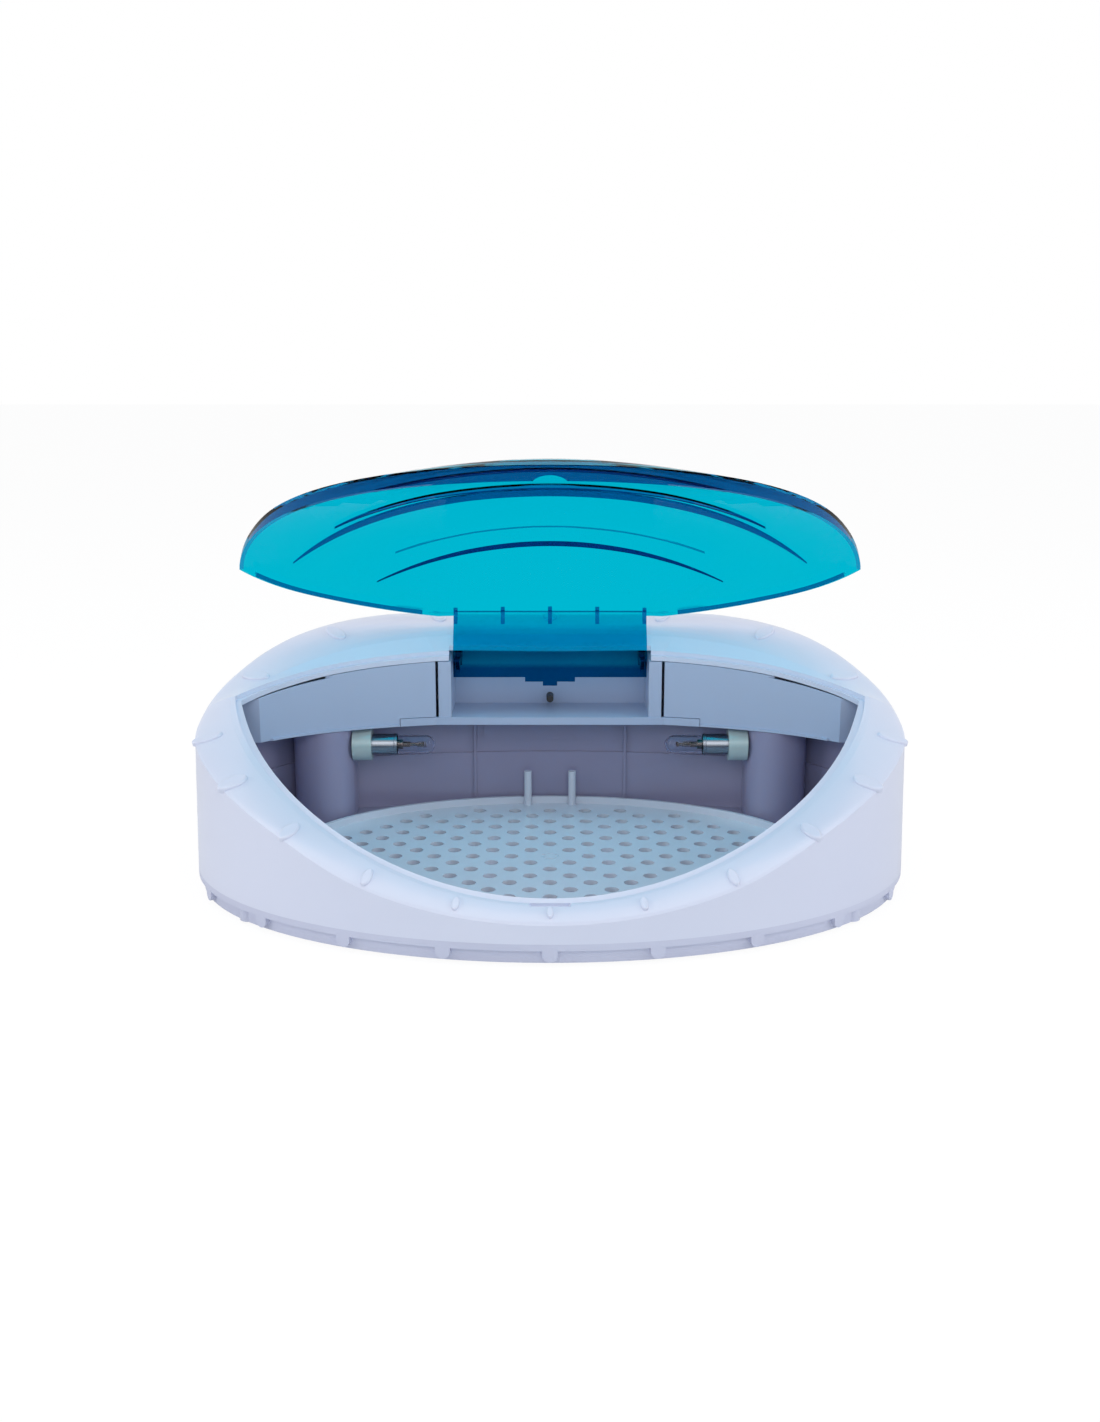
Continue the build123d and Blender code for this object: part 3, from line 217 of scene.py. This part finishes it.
def painted_shade_by_height():
    """Two colours that blend between two heights: painted shade that darkens the colour below a
    height.
    """
    tree, start, end = new_group(
        "painted_shade_by_height",
        {"Upper Colour": COLOUR, "Painted Shade Colour": COLOUR, "Low Height": NUMBER, "High Height": NUMBER},
        {"Colour": COLOUR})
    given, link = start.outputs, tree.links.new
    split = tree.nodes.new("ShaderNodeSeparateXYZ")
    link(tree.nodes.new("ShaderNodeTexCoord").outputs["Object"], split.inputs["Vector"])
    share = tree.nodes.new("ShaderNodeMapRange")
    share.interpolation_type = "SMOOTHSTEP"
    link(split.outputs["Z"], share.inputs["Value"])
    link(given["Low Height"], share.inputs["From Min"])
    link(given["High Height"], share.inputs["From Max"])
    blend = mix_colours(tree, share.outputs["Result"], given["Painted Shade Colour"], given["Upper Colour"])
    link(blend, end.inputs["Colour"])
    return tree


MOULDED = moulded_plastic()
DRAWN = drawn_metal()
PAINTED_SHADE_BY_HEIGHT = painted_shade_by_height()


# Materials

GRAIN_DEPTH, GRAIN_SIZE, RUBBED = 0.05, 900.0, 0.04    # usual for moulded plastic
TARNISH = 0.3                                          # usual for metal
ALONG_X, ALONG_Z = (60.0, 2500.0, 2500.0), (2500.0, 2500.0, 60.0)
LID_BEND, GLASS_BEND = 1.06, 1.2                       # how much light bends in a thin wall
ARM_LOW, ARM_HIGH = 0.098, 0.102                       # metres up, where painted shade darkens the arm's colour, for the dark hinge bay behind it


def place_effect(material, effect, values):
    group = material.node_tree.nodes.new("ShaderNodeGroup")
    group.node_tree = effect
    for label, value in values.items():
        group.inputs[label].default_value = value
    return group


def finish(name, effect, values, settings):
    """Material from a shared effect with its own values and the shader's own settings."""
    material = bpy.data.materials.new(name)
    material.use_nodes = True
    shader, link = material.node_tree.nodes["Principled BSDF"], material.node_tree.links.new
    group = place_effect(material, effect, values)
    link(group.outputs["Colour"], shader.inputs["Base Color"])
    link(group.outputs["Roughness"], shader.inputs["Roughness"])
    link(group.outputs["Normal"], shader.inputs["Normal"])
    for label, value in settings.items():
        shader.inputs[label].default_value = value
    return material


def plastic(name, colour, second, roughness, grain=GRAIN_DEPTH, size=GRAIN_SIZE, **settings):
    values = {"Colour": colour, "Second Colour": second, "Roughness": roughness,
              "Rubbed": RUBBED, "Grain Depth": grain, "Grain Size": size}
    return finish(name, MOULDED, values, settings)


def metal(name, colour, stretch, roughness, tarnish=TARNISH):
    values = {"Colour": colour, "Tarnish Colour": STEEL, "Tarnish": tarnish,
              "Roughness": roughness, "Line Stretch": stretch}
    return finish(name, DRAWN, values, {"Metallic": 1.0})


def clear(name, colour, bend):
    """See-through plastic or glass; bend is how much it bends light."""
    return plastic(name, colour, colour, roughness=0.0, grain=0.0,
                   **{"Transmission Weight": 1.0, "IOR": bend})


def clear_with_painted_shade(name, upper, lower, low, high, bend):
    """See-through plastic darkened below a height as painted shade, for the dark hinge bay seen
    through it.
    """
    material = clear(name, upper, bend)
    group = place_effect(material, PAINTED_SHADE_BY_HEIGHT, {"Upper Colour": upper, "Painted Shade Colour": lower,
                                               "Low Height": low, "High Height": high})
    shader = material.node_tree.nodes["Principled BSDF"]
    material.node_tree.links.new(group.outputs["Colour"], shader.inputs["Base Color"])
    return material


housing_gloss = plastic("housing_gloss", LAVENDER_WHITE, LAVENDER_DEEP, roughness=0.28, grain=0.02,
                        **{"Coat Weight": 0.15})
base_satin = plastic("base_satin", BASE_LAVENDER, LAVENDER_DEEP, roughness=0.35)
# Painted shade: the chamber parts and hinge bay are darkened, blued copies of the housing's plastic
chamber_satin_painted_shade = plastic("chamber_satin_painted_shade", CHAMBER_PAINTED_SHADE, CHAMBER_PAINTED_SHADE_DEEP, roughness=0.3, grain=0.04)
# Painted shade: the liner is a darkened copy of the housing's plastic
liner_satin_painted_shade = plastic("liner_satin_painted_shade", LINER_PAINTED_SHADE, LINER_PAINTED_SHADE_DEEP, roughness=0.28, grain=0.04)
tray_gloss = plastic("tray_gloss", TRAY_BLUE, TRAY_DEEP, roughness=0.2, grain=0.03)
glazed_ceramic = plastic("glazed_ceramic", CERAMIC, CERAMIC_AGED, roughness=0.15, size=500.0)
black_plastic = plastic("black_plastic", BLACK, BLACK_WORN, roughness=0.45, grain=0.25, size=1800.0)
foot_rubber = plastic("foot_rubber", RUBBER, RUBBER_DUSTY, roughness=0.75, grain=0.4, size=1200.0)
white_sleeve = plastic("white_sleeve", SLEEVE_WHITE, SLEEVE_GREY, roughness=0.5, grain=0.1)
board_green = plastic("board_green", BOARD_GREEN, BOARD_DEEP, roughness=0.35, grain=0.2, size=700.0)
relay_amber = plastic("relay_amber", RELAY_AMBER, RELAY_DEEP, roughness=0.3)
can_blue = plastic("can_blue", CAN_BLUE, CAN_DEEP, roughness=0.35)
terminal_green = plastic("terminal_green", TERMINAL_GREEN, TERMINAL_DEEP, roughness=0.4, grain=0.15)
bright_cap = metal("bright_cap", NICKEL, ALONG_X, roughness=0.2)
ground_pin = metal("ground_pin", NICKEL, ALONG_X, roughness=0.22)
plated_screw = metal("plated_screw", ZINC, ALONG_Z, roughness=0.3)
electrode_wire = metal("electrode_wire", HOT_WIRE, ALONG_X, roughness=0.35, tarnish=0.6)
varnished_core = metal("varnished_core", VARNISHED_STEEL, ALONG_Z, roughness=0.4, tarnish=0.6)
enamelled_copper = metal("enamelled_copper", COPPER, ALONG_X, roughness=0.3, tarnish=0.2)
fuse_metal = metal("fuse_metal", NICKEL, ALONG_X, roughness=0.2)
lid_tinted = clear("lid_tinted", LID_TURQUOISE, LID_BEND)
# Painted shade: the arm darkens downwards, between ARM_LOW and ARM_HIGH
lid_arm_tint_and_painted_shade = clear_with_painted_shade("lid_arm_tint_and_painted_shade", ARM_BLUE, ARM_PAINTED_SHADE, ARM_LOW, ARM_HIGH, LID_BEND)
# Painted shade: the edge, ribs, fins and ridges get darker copies of the lid's turquoise
lid_edge_painted_shade = clear("lid_edge_painted_shade", LID_EDGE_PAINTED_SHADE, LID_BEND)
lid_ridge_painted_shade = clear("lid_ridge_painted_shade", LID_RIDGE_PAINTED_SHADE, LID_BEND)
clear_bulb = clear("clear_bulb", BULB_GLASS, GLASS_BEND)


# Finishes of the CAD nodes

FINISHES = {
    "upper_housing": housing_gloss,
    "base_plate": base_satin,
    "rubber_feet": foot_rubber,
    "base_screws": plated_screw,
    "chamber_liner": liner_satin_painted_shade,
    "perforated_tray": tray_gloss,
    "hinge_bay": chamber_satin_painted_shade,
    "hinge_pins": ground_pin,
    "interlock_plunger": black_plastic,
    "interlock_switch": black_plastic,
    "power_inlet": black_plastic,
    "rocker_frame": black_plastic,
    "power_rocker": black_plastic,
    "ballast_board": board_green,
    "board_screws": plated_screw,
    "choke_core": varnished_core,
    "choke_winding": enamelled_copper,
    "capacitors": can_blue,
    "starter_relay": relay_amber,
    "terminal_block": terminal_green,
    "fuse": fuse_metal,
    "power_wires": white_sleeve,
}
for side in ("right", "left"):
    FINISHES.update({
        side + "_lamp_post": liner_satin_painted_shade,
        side + "_lamp_socket": glazed_ceramic,
        side + "_lamp_cap": bright_cap,
        side + "_lamp_glass": clear_bulb,
        side + "_lamp_electrodes": electrode_wire,
        side + "_lamp_wire": white_sleeve,
        side + "_rear_panel": chamber_satin_painted_shade,
    })
for node, material in FINISHES.items():
    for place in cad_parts[node].material_slots:
        place.material = material


# Lid: a copy of the node whose edge, ridges and arm get painted shade, darker copies of its
# turquoise.
# Its sizes are in millimetres, on the plan of the shut lid.

MM = 0.001
HINGE_Y, HINGE_Z = 88.0, 102.0
OPEN_ANGLE = math.radians(52)
EDGE_A, EDGE_B, EDGE_Y = 168.0, 156.0, 40.0       # front oval of the opening
REAR_A, REAR_B, REAR_Y = 175.0, 88.0, -20.0       # rear oval of the opening
CORNER_Y = 10.0
EDGE_IN = 3.4                                     # how far in the rolled edge reaches
ARM_REACH, ARM_HALF = 29.0, 54.2
RIB_START = CORNER_Y - 10
RIB_IN, RIB_T = 4.0, 2.0
FIN_START, FIN_STEP, FIN_T = 45, 26.3, 2.2
FINS = [FIN_STEP * place for place in range(-2, 3)]
FIN_NEAR = 0.05                                   # allowance round a fin
NEAR = 0.4                                        # allowance round a ridge or rib
FACES_UP = 0.3                                    # upward lean of the lid's smooth top
LEAST_REACH = 0.1                                 # keeps an oval's middle from a division by 0

Crescent = namedtuple("Crescent", "front half sag depth")
RIDGES = (Crescent(-88, 84, 22, 4), Crescent(-62, 110, 40, 5))
BROAD_CRESCENT = Crescent(-54, 136, 63, 8)
LOW_CRESCENT = Crescent(2.5, 94, 27.5, 3)
ARC_STEPS, ARC_ROWS = 72, 3
ARC_START, ARC_T = 20, 1.0                        # height before it is pressed up, and thickness
ARC_SPAN = 0.999                                  # share of its width, so that the tips aren't cut

PLATE, ARM, EDGE, RIDGE = range(4)                # the lid's zones, in the order of its tint and painted shades
LID_TINT_AND_SHADES = (lid_tinted, lid_arm_tint_and_painted_shade, lid_edge_painted_shade, lid_ridge_painted_shade)


def shut(y, z):
    """Turns a direction of the open lid, seen from the side, to that of the shut lid."""
    c, s = math.cos(OPEN_ANGLE), math.sin(OPEN_ANGLE)
    return y * c - z * s, y * s + z * c


def arc_y(front, half, sag, x):
    """Where the arc through (0, front) and (half, front + sag) is at x."""
    radius = (half**2 + sag**2) / (2 * sag)
    return front + radius - math.sqrt(radius**2 - x**2)


def crescent_edges(form, x):
    """Front and rear edge of a crescent at x."""
    front_edge = arc_y(form.front, form.half, form.sag, x)
    rear_edge = arc_y(form.front + form.depth, form.half, form.sag - form.depth, x)
    return front_edge, rear_edge


def inset_from(a, b, middle, x, y):
    """Rough distance in from an oval."""
    reach = math.hypot(x / a, (y - middle) / b)
    return (1 - reach) * math.hypot(x, y - middle) / max(reach, LEAST_REACH)


def on_ridge(x, y):
    for form in RIDGES:
        if abs(x) < form.half:
            front_edge, rear_edge = crescent_edges(form, x)
            if front_edge - NEAR < y < rear_edge + NEAR:
                return True
    return False


def on_fin(x, y):
    return y > FIN_START and any(abs(x - middle) < FIN_T / 2 + FIN_NEAR for middle in FINS)


def on_rib(x, y):
    inset = inset_from(REAR_A, REAR_B, REAR_Y, x, y)
    return y > RIB_START and RIB_IN - NEAR < inset < RIB_IN + RIB_T + NEAR


def on_edge(x, y):
    return y < CORNER_Y and inset_from(EDGE_A, EDGE_B, EDGE_Y, x, y) < EDGE_IN


def lid_zone(mesh, face):
    """Which zone a face of the lid is in, where all its corners and its middle agree."""
    spots = []
    for corner in [mesh.vertices[k].co for k in face.vertices] + [face.center]:
        dy, dz = shut(corner.y / MM - HINGE_Y, corner.z / MM - HINGE_Z)
        spots.append((corner.x / MM, HINGE_Y + dy, math.hypot(dy, dz)))
    if all(abs(x) < ARM_HALF and reach < ARM_REACH for x, y, reach in spots):
        return ARM
    if shut(face.normal.y, face.normal.z)[1] > FACES_UP:
        return PLATE
    # Fins, ridges, ribs and the rolled edge, on faces that don't face up, get painted shade
    for zone, test in ((RIDGE, on_fin), (RIDGE, on_ridge), (EDGE, on_rib), (EDGE, on_edge)):
        if all(test(x, y) for x, y, reach in spots):
            return zone
    return PLATE


def tinted_and_shaded_lid():
    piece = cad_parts["lid"].copy()
    piece.data = piece.data.copy()
    piece.name = "lid_moulding"
    piece.parent = None
    bpy.context.collection.objects.link(piece)
    piece.data.materials.clear()
    for lid_material in LID_TINT_AND_SHADES:
        piece.data.materials.append(lid_material)
    for face in piece.data.polygons:
        face.material_index = lid_zone(piece.data, face)
    piece.visible_shadow = False
    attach(piece, "lid")
    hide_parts("lid")
    return piece


def deselect():
    bpy.ops.object.select_all(action="DESELECT")


def swing(mesh, angle):
    """Turns a mesh about the lid's hinge line."""
    hinge = Vector((0, HINGE_Y * MM, HINGE_Z * MM))
    turn = Matrix.Rotation(angle, 4, "X")
    mesh.transform(Matrix.Translation(hinge) @ turn @ Matrix.Translation(-hinge))


def lid_arc(name, under, form, lid_material):
    """Raised crescent, laid on the shut lid's plan and pressed up against its underside."""
    deselect()
    bpy.ops.mesh.primitive_grid_add(x_subdivisions=ARC_STEPS, y_subdivisions=ARC_ROWS, size=2)
    piece = bpy.context.object
    piece.name = name
    for corner in piece.data.vertices:
        x = corner.co.x * form.half * ARC_SPAN
        front_edge, rear_edge = crescent_edges(form, x)
        y = front_edge + (rear_edge - front_edge) * (corner.co.y + 1) / 2
        corner.co = Vector((x, y, ARC_START)) * MM
    press = piece.modifiers.new("press", "SHRINKWRAP")
    press.target = under
    press.wrap_method = "PROJECT"
    press.use_project_z = True
    press.use_negative_direction = False
    press.use_positive_direction = True
    bpy.ops.object.modifier_apply(modifier="press")
    # The wall grows downwards, away from the lid.
    wall = piece.modifiers.new("wall", "SOLIDIFY")
    wall.thickness = ARC_T * MM
    wall.offset = 1 if piece.data.polygons[0].normal.z < 0 else -1
    bpy.ops.object.modifier_apply(modifier="wall")
    swing(piece.data, -OPEN_ANGLE)
    # Painted shade: the crescent gets a darker copy of the lid's turquoise
    piece.data.materials.append(lid_material)
    piece.visible_shadow = False
    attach(piece, "lid")


def lid_arcs(lid):
    """Both crescents, pressed against a shut copy of the lid that is then removed."""
    shut_lid = lid.copy()
    shut_lid.data = lid.data.copy()
    bpy.context.collection.objects.link(shut_lid)
    swing(shut_lid.data, OPEN_ANGLE)
    lid_arc("lid_broad_crescent", shut_lid, BROAD_CRESCENT, lid_edge_painted_shade)
    lid_arc("lid_low_crescent", shut_lid, LOW_CRESCENT, lid_ridge_painted_shade)
    bpy.data.objects.remove(shut_lid)


lid_arcs(tinted_and_shaded_lid())


# Coiled wire inside each lamp, in millimetres

COIL_R, COIL_TURNS, COIL_LENGTH = 1.5, 6, 5.0
WIRE_R, WIRE_SIDES, TURN_STEPS = 0.16, 8, 20
COIL_X, LAMP_Y, LAMP_Z = 74.0, 55.0, 56.5
QUARTER_TURN = math.pi / 2


def lamp_coil(name, side):
    """Wire wound up the Z axis, then laid along the lamp."""
    deselect()
    bpy.ops.mesh.primitive_circle_add(vertices=WIRE_SIDES, radius=WIRE_R * MM,
                                      location=(COIL_R * MM, 0, 0), rotation=(QUARTER_TURN, 0, 0))
    bpy.ops.object.transform_apply(location=True, rotation=True, scale=True)
    piece = bpy.context.object
    piece.name = name
    wind = piece.modifiers.new("wind", "SCREW")
    wind.axis = "Z"
    wind.screw_offset = COIL_LENGTH / COIL_TURNS * MM
    wind.iterations = COIL_TURNS
    wind.steps = TURN_STEPS
    bpy.ops.object.modifier_apply(modifier="wind")
    lamp = Vector((side * COIL_X, LAMP_Y, LAMP_Z)) * MM
    piece.data.transform(Matrix.Translation(lamp) @ Matrix.Rotation(QUARTER_TURN, 4, "Y"))
    piece.data.materials.append(electrode_wire)
    bpy.ops.object.mode_set(mode="EDIT")
    bpy.ops.mesh.select_all(action="SELECT")
    bpy.ops.mesh.normals_make_consistent(inside=False)
    bpy.ops.object.mode_set(mode="OBJECT")
    bpy.ops.object.shade_smooth()
    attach(piece, "cabinet")


lamp_coil("right_lamp_coil", 1)
lamp_coil("left_lamp_coil", -1)


# Floor, light and camera, in metres

FLOOR_SIZE, FLOOR_MIDDLE = 12, (0, 2, 0)
FLOOR_PALE, FLOOR_GLOW = (0.9, 0.9, 0.9, 1), 1.03
FLOOR_SHARE = 0.91                                # how much of the glow the camera sees
SKY, SKY_STRENGTH = (0.93, 0.95, 1.0, 1), 0.5
CAMERA_PLACE, CAMERA_PITCH = (0.0, -0.755, 0.267), 13.3
SENSOR, LENS = 36, 37.97                          # millimetres


def floor_white():
    """White to the camera and through glass, but it keeps the object's shadow."""
    material = bpy.data.materials.new("floor_white")
    material.use_nodes = True
    tree = material.node_tree
    tree.nodes.remove(tree.nodes["Principled BSDF"])
    diffuse = tree.nodes.new("ShaderNodeBsdfDiffuse")
    diffuse.inputs["Color"].default_value = FLOOR_PALE
    glow = tree.nodes.new("ShaderNodeEmission")
    glow.inputs["Strength"].default_value = FLOOR_GLOW
    ray = tree.nodes.new("ShaderNodeLightPath").outputs
    seen = work_out(tree, "MAXIMUM", ray["Is Camera Ray"], ray["Is Transmission Ray"])
    share = work_out(tree, "MULTIPLY", seen, FLOOR_SHARE)
    blend = mix_shaders(tree, share, diffuse.outputs["BSDF"], glow.outputs["Emission"])
    tree.links.new(blend, tree.nodes["Material Output"].inputs["Surface"])
    return material


def studio_floor():
    deselect()
    bpy.ops.mesh.primitive_plane_add(size=FLOOR_SIZE, location=FLOOR_MIDDLE)
    floor = bpy.context.object
    floor.name = "floor"
    bpy.ops.object.transform_apply(location=True, rotation=True, scale=True)
    floor.data.materials.append(floor_white())


def studio_world():
    """Soft sky on the object, and white to the camera, in gloss and through glass."""
    world = bpy.data.worlds.new("studio")
    bpy.context.scene.world = world
    world.use_nodes = True
    tree = world.node_tree
    soft = tree.nodes["Background"]
    soft.inputs["Color"].default_value = SKY
    soft.inputs["Strength"].default_value = SKY_STRENGTH
    white = tree.nodes.new("ShaderNodeBackground")
    white.inputs["Color"].default_value = WHITE
    ray = tree.nodes.new("ShaderNodeLightPath").outputs
    seen = work_out(tree, "MAXIMUM", ray["Is Camera Ray"], ray["Is Glossy Ray"])
    seen = work_out(tree, "MAXIMUM", seen, ray["Is Transmission Ray"])
    blend = mix_shaders(tree, seen, soft.outputs["Background"], white.outputs["Background"])
    tree.links.new(blend, tree.nodes["World Output"].inputs["Surface"])


def softbox(name, place, aim, size, power):
    light = bpy.data.lights.new(name, "AREA")
    light.shape = "RECTANGLE"
    light.size, light.size_y = size
    light.energy = power
    holder = bpy.data.objects.new(name, light)
    holder.location = place
    holder.rotation_euler = (Vector(aim) - Vector(place)).to_track_quat("-Z", "Y").to_euler()
    bpy.context.collection.objects.link(holder)


def camera():
    lens = bpy.data.cameras.new("camera")
    lens.sensor_width = SENSOR
    lens.lens = LENS
    holder = bpy.data.objects.new("camera", lens)
    holder.location = CAMERA_PLACE
    holder.rotation_euler = (math.radians(90 - CAMERA_PITCH), 0, 0)
    bpy.context.collection.objects.link(holder)
    bpy.context.scene.camera = holder


studio_floor()
studio_world()
softbox("top_light", place=(0, -0.1, 1.5), aim=(0, 0, 0.05), size=(1.4, 1.0), power=6)
softbox("front_light", place=(0, -1.6, 0.9), aim=(0, 0, 0.08), size=(1.4, 0.9), power=6)
for side in (-1, 1):
    softbox("side_light", place=(1.7 * side, -0.5, 0.7), aim=(0, 0, 0.06), size=(1.0, 0.8), power=8)
camera()
bpy.context.scene.view_settings.view_transform = "Standard"
